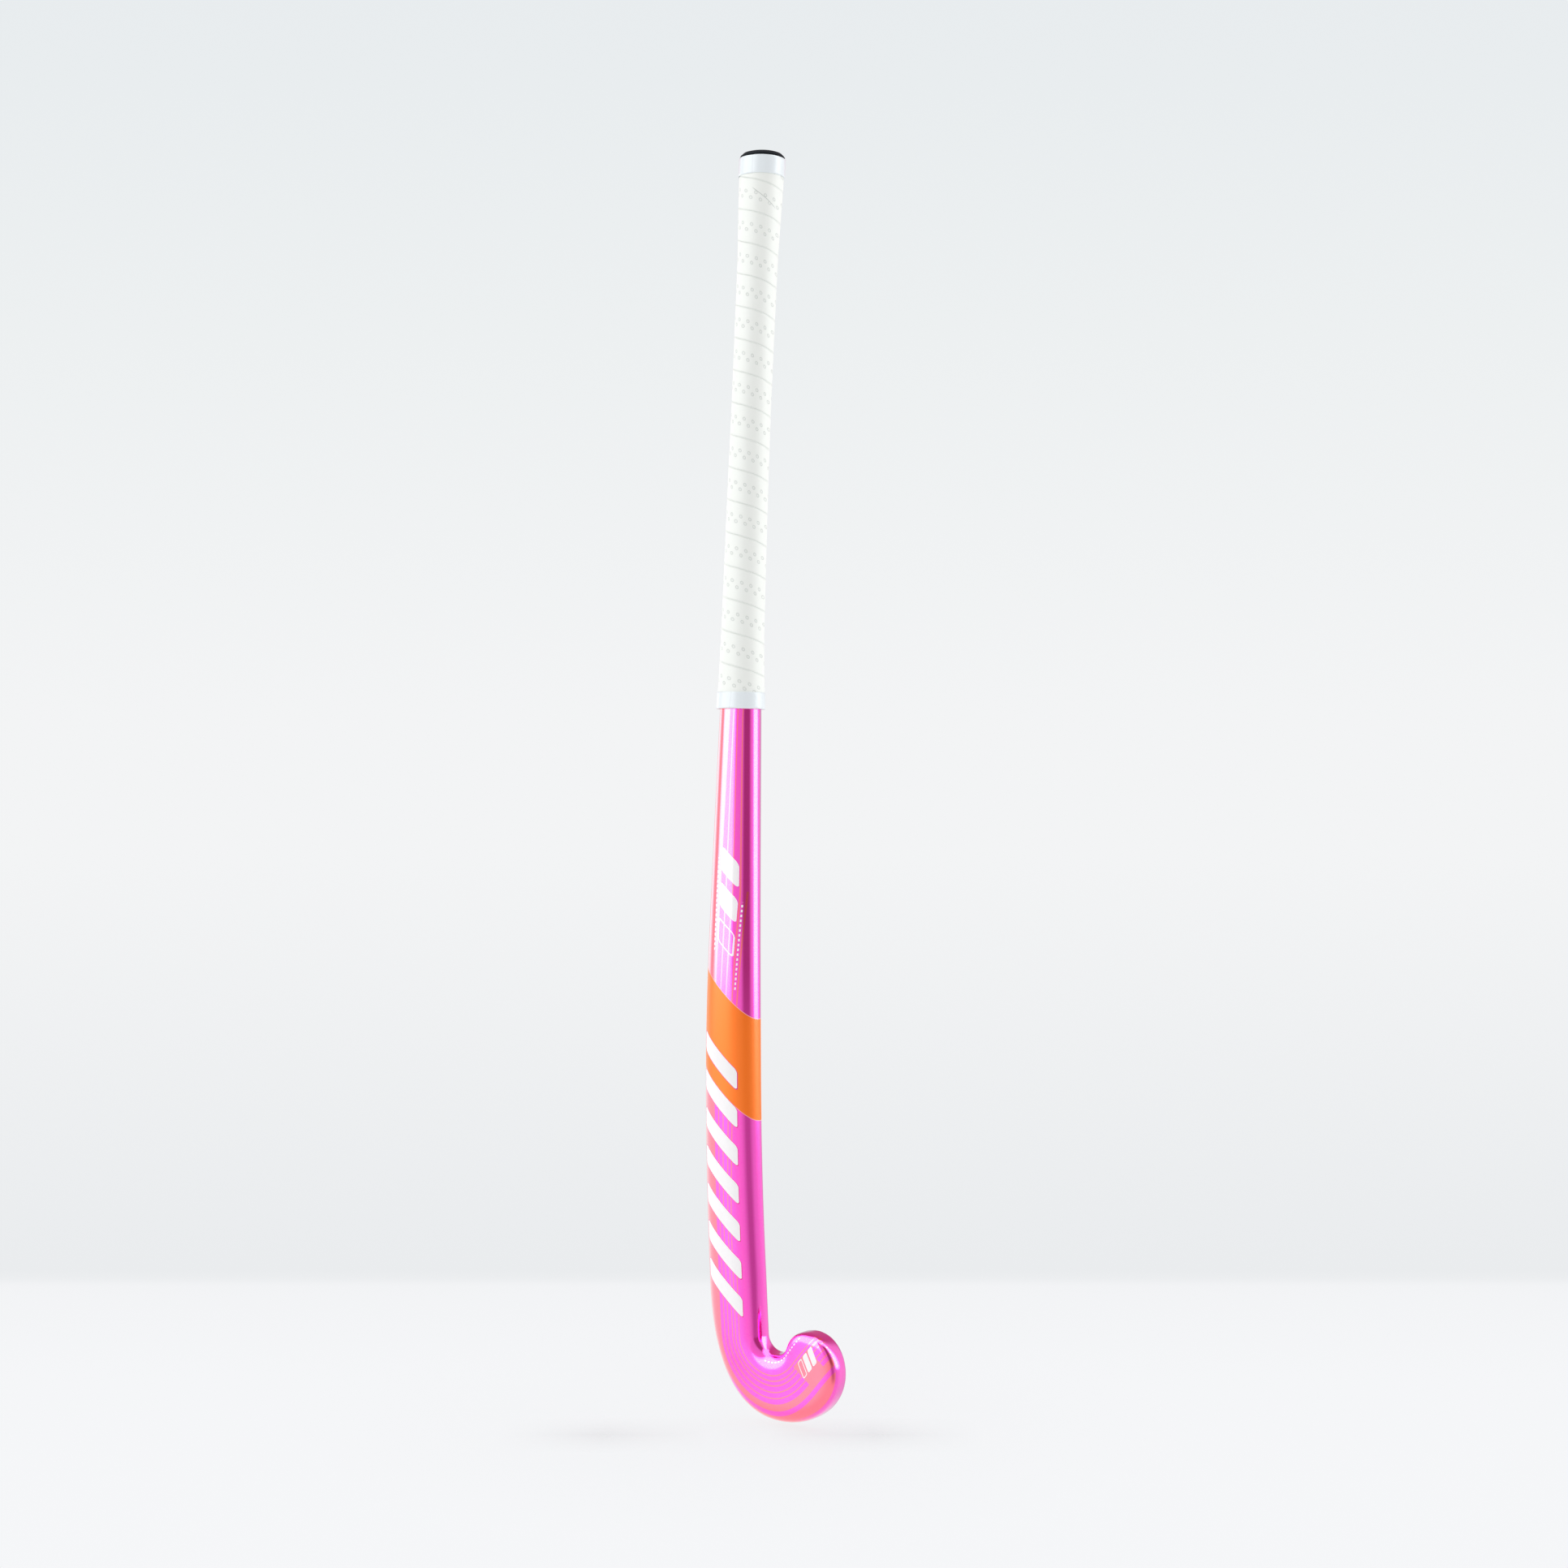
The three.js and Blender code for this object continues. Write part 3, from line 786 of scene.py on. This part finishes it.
# %% Marks
bar_first, bar_pitch, bar_count, bar_aside = 96.0, 28.6, 7, 2.5
bar_x = math(tree, "ADD", across, bar_aside)
bar_y, bar_span = repeated(slanted, bar_first, bar_pitch, bar_count)
bars = use(tree, rounded_bar, X=bar_x, Y=bar_y, Half_width=15.0, Half_height=7.4, Radius=2.4, Outline=0.55)
bar_paint = both(bars["Mask"], bar_span, on_back)
bar_rim = both(bars["Rim"], bar_span, on_back)

small_first, small_pitch, small_count, small_middle = 364.0, 27.0, 3, 30.6
small_x = math(tree, "SUBTRACT", guide, small_middle)
small_y, small_span = repeated(slanted, small_first, small_pitch, small_count)
small = use(tree, rounded_bar, X=small_x, Y=small_y, Half_width=5.8, Half_height=8.0, Radius=1.8,
            Outline=1.2)
solid_small = both(small["Mask"], within(slanted, small_first + small_pitch / 2, 450, 0.05))
outline_small = both(small["Rim"], outside(small["Mask"]))
small_paint = both(either(solid_small, outline_small), small_span, on_back)

tick_pitch, dash_pitch = 3.6, 3.2
tick_y, _ = repeated(height, 0.0, tick_pitch, 1)
inner_column = both(within(guide, 20.5, 21.5), within(height, 323, 388))
outer_column = both(within(guide, 39.2, 40.4), within(height, 352, 421))
ticks = both(within(tick_y, -0.9, 0.9, 0.3), either(inner_column, outer_column))
dash_x, _ = repeated(run, 0.0, dash_pitch, 1)
dashes = both(within(dash_x, -0.8, 0.8, 0.3), within(guide, 5.0, 6.0), within(run, 22, 66))

toe_first, toe_pitch, toe_count, toe_middle, toe_slant = 5.0, 6.8, 3, 24.0, 0.45
toe_x = math(tree, "SUBTRACT", guide, toe_middle)
toe_slanted = math(tree, "ADD", toe_run, scaled(toe_x, toe_slant))
toe_y, toe_span = repeated(toe_slanted, toe_first, toe_pitch, toe_count)
toe_bars = use(tree, rounded_bar, X=toe_x, Y=toe_y, Half_width=5.6, Half_height=1.9, Radius=0.8, Outline=0.7)
toe_solid = both(toe_bars["Mask"], within(toe_slanted, toe_first + toe_pitch / 2, 30, 0.05))
toe_outlined = both(toe_bars["Rim"], outside(toe_bars["Mask"]))
toe_marks = both(either(toe_solid, toe_outlined), toe_span)
fine_marks = both(either(small_paint, ticks, dashes, toe_marks), on_back, outside(orange_mask))
white_mask = either(bar_paint, fine_marks)
colour = mix(tree, bar_rim, colour, deep_magenta)
colour = mix(tree, white_mask, colour, white_paint)
tree.links.new(colour, shader.inputs["Base Color"])

# %% Gloss of the lacquer
flat_paint = either(white_mask, orange_edge, scaled(orange_mask, 0.72))
tree.links.new(scaled(outside(flat_paint), 0.92), shader.inputs["Metallic"])
tree.links.new(outside(scaled(orange_mask, 0.85)), shader.inputs["Coat Weight"])
speck = use(tree, grain, Place=place, Size=2.2)
uneven = scaled(math(tree, "SUBTRACT", speck["Patches"], 0.5), 0.06)
rough = math(tree, "ADD", math(tree, "ADD", 0.13, scaled(flat_paint, 0.4)), uneven)
tree.links.new(rough, shader.inputs["Roughness"])
peel = node(tree, "ShaderNodeBump", {"Strength": 0.03, "Distance": 0.0002, "Height": speck["Grain"]})
tree.links.new(peel.outputs[0], shader.inputs["Normal"])
shader.inputs["Coat IOR"].default_value = 1.6
shader.inputs["Coat Roughness"].default_value = 0.04
stick_laminate.data.materials.append(lacquer)

# %% [markdown]
# ## Grip, film and plug
# The cushioned tape has two staggered rows of small holes along its middle and, near the butt, the slanted
# cut where the strip begins. The holes' rims and the cut are pressed in by a bump, and they and each seam
# between turns also get painted shade, a darker colour where shade falls in them. The film is smooth and a
# little blue, with one lap seam. The plug is dull black plastic.

# %% Grip material
cushion, tree, shader = material("grip_cushion", linear(246, 246, 244))
surface = node(tree, "ShaderNodeUVMap", uv_map="surface_mm").outputs[0]
uv = node(tree, "ShaderNodeSeparateXYZ", {0: surface}).outputs
hole_pitch = 7.6
row_gap = 4.4
row = math(tree, "FLOOR", math(tree, "DIVIDE", uv[1], row_gap))
stagger = math(tree, "MULTIPLY", math(tree, "FLOORED_MODULO", row, 2.0), hole_pitch / 2)
folded = math(tree, "FLOORED_MODULO", math(tree, "ADD", uv[0], stagger), hole_pitch)
hole_x = math(tree, "SUBTRACT", folded, hole_pitch / 2)
hole_y = math(tree, "SUBTRACT", math(tree, "FLOORED_MODULO", uv[1], row_gap), row_gap / 2)
hole_rows = use(tree, line, Value=uv[1], Centre=0.0, Half_width=row_gap, Soft=0.05)["Mask"]
holes = use(tree, rounded_bar, X=hole_x, Y=hole_y, Half_width=0.9, Half_height=0.9, Radius=0.9, Outline=0.45,
            Soft=0.3)
hole_mask = both(holes["Rim"], outside(scaled(holes["Mask"], 0.75)), hole_rows)
spot = node(tree, "ShaderNodeSeparateXYZ", {0: object_mm(tree)}).outputs
from_axis = [math(tree, "SUBTRACT", spot[k], float(shift[k])) for k in (0, 1)]
turned = math(tree, "ARCTAN2", from_axis[0], math(tree, "MULTIPLY", from_axis[1], -1.0))
butt_radius = 16.0
cut_slant = 0.86
arc = scaled(turned, butt_radius)
cut_height = math(tree, "ADD", spot[2], scaled(arc, cut_slant))
cut_end = both(within(cut_height, 925.4, 925.9, 0.3), within(arc, 3.2, 19.5, 2.0))
skin = use(tree, grain, Place=object_mm(tree), Size=3.0)
# Painted shade: the holes' rims and the slanted cut are darker in the colour, as shade in these small dents,
# and the bump below presses them in.
dent_painted_shade = either(scaled(hole_mask, 0.55), scaled(cut_end, 0.9))
colour = mix(tree, dent_painted_shade, linear(247, 250, 246), linear(186, 192, 189))
colour = mix(tree, scaled(skin["Patches"], 0.06), colour, linear(230, 235, 229))
# Painted shade along each seam between the turns of the tape.
seam_shade = within(math(tree, "ABSOLUTE", uv[1]), 11.3, 13.0, 0.8)
colour = mix(tree, scaled(seam_shade, 0.22), colour, linear(205, 211, 207))
tree.links.new(colour, shader.inputs["Base Color"])
height = math(tree, "SUBTRACT", scaled(skin["Grain"], 0.12), either(hole_mask, cut_end))
bump = node(tree, "ShaderNodeBump", {"Strength": 0.5, "Distance": 0.0003, "Height": height})
tree.links.new(bump.outputs[0], shader.inputs["Normal"])
shader.inputs["Roughness"].default_value = 0.5
grip_wrap.data.materials.append(cushion)

# %% Film material
film, tree, shader = material("film_tape", linear(244, 248, 252))
skin = use(tree, grain, Place=object_mm(tree), Size=0.6)
colour = mix(tree, scaled(skin["Patches"], 0.2), linear(238, 245, 249), linear(230, 238, 243))
bump = node(tree, "ShaderNodeBump", {"Strength": 0.2, "Distance": 0.0003, "Height": skin["Grain"]})
tree.links.new(bump.outputs[0], shader.inputs["Normal"])
surface = node(tree, "ShaderNodeUVMap", uv_map="surface_mm").outputs[0]
girth = node(tree, "ShaderNodeSeparateXYZ", {0: surface}).outputs[0]
lap_column = 2 * corner_steps + face_steps + back_steps // 2 + 2
lap_at = float(sleeve_uv(collar_rings)["girth"][0, lap_column])
lap = within(girth, lap_at - 0.25, lap_at + 0.25, 0.2)
colour = mix(tree, scaled(lap, 0.35), colour, linear(205, 210, 214))
tree.links.new(colour, shader.inputs["Base Color"])
shader.inputs["Roughness"].default_value = 0.28
for piece in (collar_film, finish_band):
    piece.data.materials.append(film)

# %% Plug material
plug_plastic, tree, shader = material("plug_plastic", linear(26, 32, 38))
skin = use(tree, grain, Place=object_mm(tree), Size=4.0)
colour = mix(tree, skin["Patches"], linear(12, 17, 21), linear(22, 28, 33))
tree.links.new(colour, shader.inputs["Base Color"])
bump = node(tree, "ShaderNodeBump", {"Strength": 0.3, "Distance": 0.0002, "Height": skin["Grain"]})
tree.links.new(bump.outputs[0], shader.inputs["Normal"])
shader.inputs["Roughness"].default_value = 0.7
shader.inputs["Specular IOR Level"].default_value = 0.1
butt_cap.data.materials.append(plug_plastic)

# %% [markdown]
# ## Finishes for the hidden pieces
# The pieces inside keep their solids. Each gets the finish that it has on a bench: poured foam with open
# cells, woven carbon cloth, dark elastomer, tacky adhesive.

# %% Hidden materials


def hidden_finish(name, dark, light, size, roughness, depth, weave=False):
    """A finish that mixes two colours by grain, or by two crossed waves for cloth."""
    made, tree, shader = material(name, light)
    place = object_mm(tree)
    speck = use(tree, grain, Place=place, Size=size)
    value = speck["Grain"]
    if weave:
        threads = {"Vector": place, "Scale": 0.3}
        waves = [node(tree, "ShaderNodeTexWave", threads, bands_direction=way).outputs[1]
                 for way in ("X", "Z")]
        value = math(tree, "MULTIPLY", math(tree, "ADD", *waves), 0.5)
    tree.links.new(mix(tree, value, dark, light), shader.inputs["Base Color"])
    bump = node(tree, "ShaderNodeBump", {"Strength": 0.6, "Distance": depth, "Height": value})
    tree.links.new(bump.outputs[0], shader.inputs["Normal"])
    shader.inputs["Roughness"].default_value = roughness
    return made


hidden = {
    "head_core": hidden_finish("poured_foam", linear(205, 190, 140), linear(236, 224, 184),
                               1.2, 0.9, 0.0006),
    "core_stopper": hidden_finish("stopper_foam", linear(150, 152, 150), linear(190, 192, 188),
                                  2.0, 0.85, 0.0004),
    "shaft_rib": hidden_finish("carbon_cloth", linear(20, 21, 23), linear(58, 60, 63),
                               3.0, 0.4, 0.0002, weave=True),
    "handle_damper": hidden_finish("dark_elastomer", linear(44, 48, 54), linear(66, 70, 78),
                                   3.0, 0.8, 0.0002),
    "handle_foam": hidden_finish("light_foam", linear(226, 222, 204), linear(244, 240, 226),
                                 1.6, 0.9, 0.0005),
    "grip_adhesive": hidden_finish("tacky_adhesive", linear(206, 198, 176), linear(226, 220, 200),
                                   1.4, 0.6, 0.0002),
}
for name, finish in hidden.items():
    cad_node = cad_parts[name]
    if not cad_node.material_slots:
        cad_node.data.materials.append(finish)
    for slot in cad_node.material_slots:
        slot.material = finish
    print(name, "finished as", finish.name)

# %% Tie the pieces to the frame
for piece, cad_name, slot_name in (
        (stick_laminate, "stick_shell", "lacquered_laminate"),
        (grip_wrap, "grip_tape", "grip_cushion"),
        (collar_film, "top_collar", "film_tape"),
        (finish_band, "finish_tape", "film_tape"),
        (butt_cap, "butt_plug", "plug_plastic")):
    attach(piece, "root")
    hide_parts(cad_name)

# %% [markdown]
# ## Studio
# The camera stands to the toe's side of the back, level with the middle of the stick and rolled a little,
# so that the stick leans. The stick floats just above a floor that is almost clear, with two soft painted
# shadows to its left and right. The backdrop that the camera sees is a painted gradient with painted shade
# just above the floor's line. The room is pale: bright panels to the left and right, and a darker gap between
# them, give the lacquer its streaks, and a dark stretch high behind the stick deepens the toe's rim.

# %% Camera
azimuth = np.radians(33)
camera_roll = np.radians(1.0)
camera_distance = 1.812
camera_height = 0.4765
camera_offset = 0.0245
camera_lens = 55.0
to_right = Vector((np.cos(azimuth), np.sin(azimuth), 0))
to_camera = Vector((np.sin(azimuth), -np.cos(azimuth), 0))
stick_foot = Vector((shift[0], shift[1], 0)) / 1000

camera = bpy.data.objects.new("camera", bpy.data.cameras.new("camera"))
bpy.context.scene.collection.objects.link(camera)
camera.data.lens = camera_lens
camera.data.sensor_width = 36
camera.matrix_world = (
    Matrix.Translation(stick_foot + to_camera * camera_distance + to_right * camera_offset
                       + Vector((0, 0, camera_height)))
    @ Matrix.Rotation(azimuth, 4, "Z") @ Matrix.Rotation(np.pi / 2, 4, "X")
    @ Matrix.Rotation(camera_roll, 4, "Z"))
bpy.context.scene.camera = camera

# %% Floor
floor_radius = 0.34
floor_level = -0.004
turn = np.linspace(0, 2 * np.pi, 96, endpoint=False)
radii = np.linspace(0.02, 1, 24)[:, None] * floor_radius
floor_grid = np.stack([radii * np.cos(turn), radii * np.sin(turn), 0 * radii * turn], axis=2)
floor_mesh = bpy.data.meshes.new("floor")
rows, columns, _ = floor_grid.shape
i, j = np.meshgrid(np.arange(rows - 1), np.arange(columns), indexing="ij")
quads = np.stack([i * columns + j, (i + 1) * columns + j, (i + 1) * columns + (j + 1) % columns,
                  i * columns + (j + 1) % columns], axis=2).reshape(-1, 4)
floor_mesh.from_pydata(floor_grid.reshape(-1, 3).tolist(), [], quads.tolist() + [list(range(columns))])
floor = bpy.data.objects.new("floor", floor_mesh)
bpy.context.scene.collection.objects.link(floor)
floor.matrix_world = (Matrix.Translation(stick_foot + Vector((0, 0, floor_level)))
                      @ Matrix.Rotation(camera_roll, 4, to_camera))
floor_finish, tree, shader = material("pale_floor", linear(244, 245, 247))
place = node(tree, "ShaderNodeTexCoord").outputs["Object"]
from_middle = node(tree, "ShaderNodeVectorMath", {0: place}, operation="LENGTH").outputs["Value"]
fade = node(tree, "ShaderNodeMapRange", {"Value": from_middle, "From Min": 0.12, "From Max": floor_radius,
                                         "To Min": 0.1, "To Max": 0.0}, interpolation_type="SMOOTHSTEP")
# Two soft painted shadows on the floor: in a band just in front of the stick, to its left and right, the
# colour is darker and the cover greater.
nearer, sideways = (
    node(tree, "ShaderNodeVectorMath", {0: place, 1: tuple(axis)}, operation="DOT_PRODUCT").outputs["Value"]
    for axis in (to_camera, to_right))
shadow_nearer, shadow_aside = 0.045, 0.1
painted_shadow_depth_band = use(tree, line, Value=nearer, Centre=shadow_nearer, Half_width=0.02, Soft=0.06)["Mask"]
aside = math(tree, "ABSOLUTE", sideways)
painted_shadow_side_band = use(tree, line, Value=aside, Centre=shadow_aside, Half_width=0.035, Soft=0.09)["Mask"]
painted_floor_shadow = math(tree, "MULTIPLY", painted_shadow_depth_band, painted_shadow_side_band)
cover = math(tree, "ADD", fade.outputs[0], math(tree, "MULTIPLY", painted_floor_shadow, 0.34))
tree.links.new(cover, shader.inputs["Alpha"])
floor_colour = mix(tree, painted_floor_shadow, (0.86, 0.865, 0.875, 1), (0.6, 0.605, 0.62, 1))
tree.links.new(floor_colour, shader.inputs["Base Color"])
shader.inputs["Roughness"].default_value = 0.9
shader.inputs["Specular IOR Level"].default_value = 0.0
floor_mesh.materials.append(floor_finish)

# %% World
world = bpy.data.worlds.new("studio")
bpy.context.scene.world = world
world.use_nodes = True
tree = world.node_tree
tree.nodes.clear()
direction = node(tree, "ShaderNodeTexCoord").outputs["Generated"]
lean_up = Vector((0, 0, 1)) * np.cos(camera_roll) - to_right * np.sin(camera_roll)


def along(axis):
    """How far the looked-along direction points along an axis."""
    made = node(tree, "ShaderNodeVectorMath", {0: direction, 1: tuple(axis)}, operation="DOT_PRODUCT")
    return made.outputs["Value"]


def ramp(value, low, high, stops):
    """Colour ramp over a value's range from low to high, with stops of value and colour."""
    share = node(tree, "ShaderNodeMapRange", {"Value": value, "From Min": low, "From Max": high})
    made = node(tree, "ShaderNodeValToRGB", {"Fac": share.outputs[0]})
    made.color_ramp.interpolation = "LINEAR"
    points = made.color_ramp.elements
    while len(points) < len(stops):
        points.new(0.5)
    for point, (at, colour) in zip(points, stops):
        point.position = (at - low) / (high - low)
        point.color = colour
    return made.outputs[0]


def grey(level):
    """Neutral colour of that strength."""
    return (level, level, level, 1)


# The backdrop that the camera sees is a painted gradient: the floor beyond the stick is palest, a band of
# painted shade lies on the wall just above the floor's line, and the wall is brightest level with the camera
# and darker towards the top.
nearest_wall = math(tree, "MAXIMUM", *(math(tree, "ABSOLUTE", along(axis)) for axis in (to_camera, to_right)))
steepness = math(tree, "DIVIDE", along(lean_up), nearest_wall)
painted_backdrop = ramp(steepness, -0.4, 0.4, [
    (-0.4, linear(246, 247, 249)), (-0.248, linear(245, 246, 248)), (-0.2144, linear(243, 244, 246)),
    (-0.2083, linear(242, 243, 245)), (-0.2055, linear(234, 236, 238)), (-0.1806, linear(235, 237, 239)),
    (-0.03, linear(243, 244, 245)), (0.03, linear(243, 244, 245)), (0.191, linear(237, 240, 241)),
    (0.293, linear(233, 237, 239)), (0.4, linear(231, 235, 238))])
bearing = math(tree, "ARCTAN2", along(to_right), along(to_camera))
elevation = math(tree, "ARCSINE", along(Vector((0, 0, 1))))
degree = np.pi / 180


def round_the_room(stops):
    """Ramp over the bearing, with stops in degrees from the camera's side, positive to its right. A stop
    gives one level of grey, or three of red, green and blue."""
    colours = [grey(level) if np.isscalar(level) else (*level, 1) for _, level in stops]
    return ramp(bearing, -np.pi, np.pi, [(at * degree, colour) for (at, _), colour in zip(stops, colours)])


def smooth_rise(angle, low, high):
    """Share that grows smoothly from 0 to 1 between two angles in degrees."""
    return node(tree, "ShaderNodeMapRange", {"Value": angle, "From Min": low * degree,
                "From Max": high * degree}, interpolation_type="SMOOTHSTEP").outputs[0]


def rising(low, high):
    """Share that grows smoothly from 0 to 1 between two elevations in degrees."""
    return smooth_rise(elevation, low, high)


streaks = round_the_room([
    (-180, 0.06), (-160, 0.06), (-148, 0.2), (-128, 0.2), (-118, 0.1), (-104, 0.11), (-90, 0.5), (-44, 0.5),
    (-33, (0.1, 0.09, 0.1)), (6, 0.085), (18, (0.034, 0.018, 0.022)), (48, (0.034, 0.018, 0.022)),
    (62, 0.09), (74, 0.12), (82, 0.6), (98, 0.6), (110, 0.10), (126, 0.1), (138, 0.065), (156, 0.065),
    (168, 0.06), (180, 0.06)])
below = round_the_room([
    (-180, 0.085), (-160, 0.085), (-146, 0.13), (-100, 0.14), (-60, 0.17), (-30, 0.12), (0, 0.095),
    (22, (0.05, 0.036, 0.044)), (40, (0.05, 0.036, 0.044)), (60, 0.085), (110, 0.11), (136, 0.075),
    (158, 0.075), (172, 0.085), (180, 0.085)])
soft_room = round_the_room([
    (-180, 0.085), (-90, 0.168), (-45, 0.122), (12, 0.07), (70, 0.13), (110, 0.2), (180, 0.085)])

mirrored = mix(tree, rising(-9, -2), below, streaks)
mirrored = mix(tree, rising(-48, -24), grey(0.115), mirrored)
mirrored = mix(tree, rising(48, 66), mirrored, grey(0.34))
behind = smooth_rise(math(tree, "ABSOLUTE", bearing), 118, 146)
high_behind = math(tree, "MULTIPLY", behind, math(tree, "SUBTRACT", rising(6, 16), rising(64, 82)))
mirrored = mix(tree, high_behind, mirrored, (0.055, 0.02, 0.03, 1))
soft_room = mix(tree, rising(35, 60), soft_room, grey(0.118))
mirror_strength, room_strength = 10.0, 8.0
seen = node(tree, "ShaderNodeBackground", {"Color": painted_backdrop})
glossy = node(tree, "ShaderNodeBackground", {"Color": mirrored, "Strength": mirror_strength})
lit = node(tree, "ShaderNodeBackground", {"Color": soft_room, "Strength": room_strength})
ray = node(tree, "ShaderNodeLightPath").outputs
first_mirror = math(tree, "MULTIPLY", ray["Is Glossy Ray"],
                    math(tree, "SUBTRACT", 1.0, math(tree, "MINIMUM", ray["Diffuse Depth"], 1.0)))
room = node(tree, "ShaderNodeMixShader", {0: first_mirror, 1: lit.outputs[0], 2: glossy.outputs[0]})
choose = node(tree, "ShaderNodeMixShader", {0: ray["Is Camera Ray"], 1: room.outputs[0], 2: seen.outputs[0]})
tree.links.new(choose.outputs[0], node(tree, "ShaderNodeOutputWorld").inputs["Surface"])
bpy.context.scene.view_settings.view_transform = "Standard"
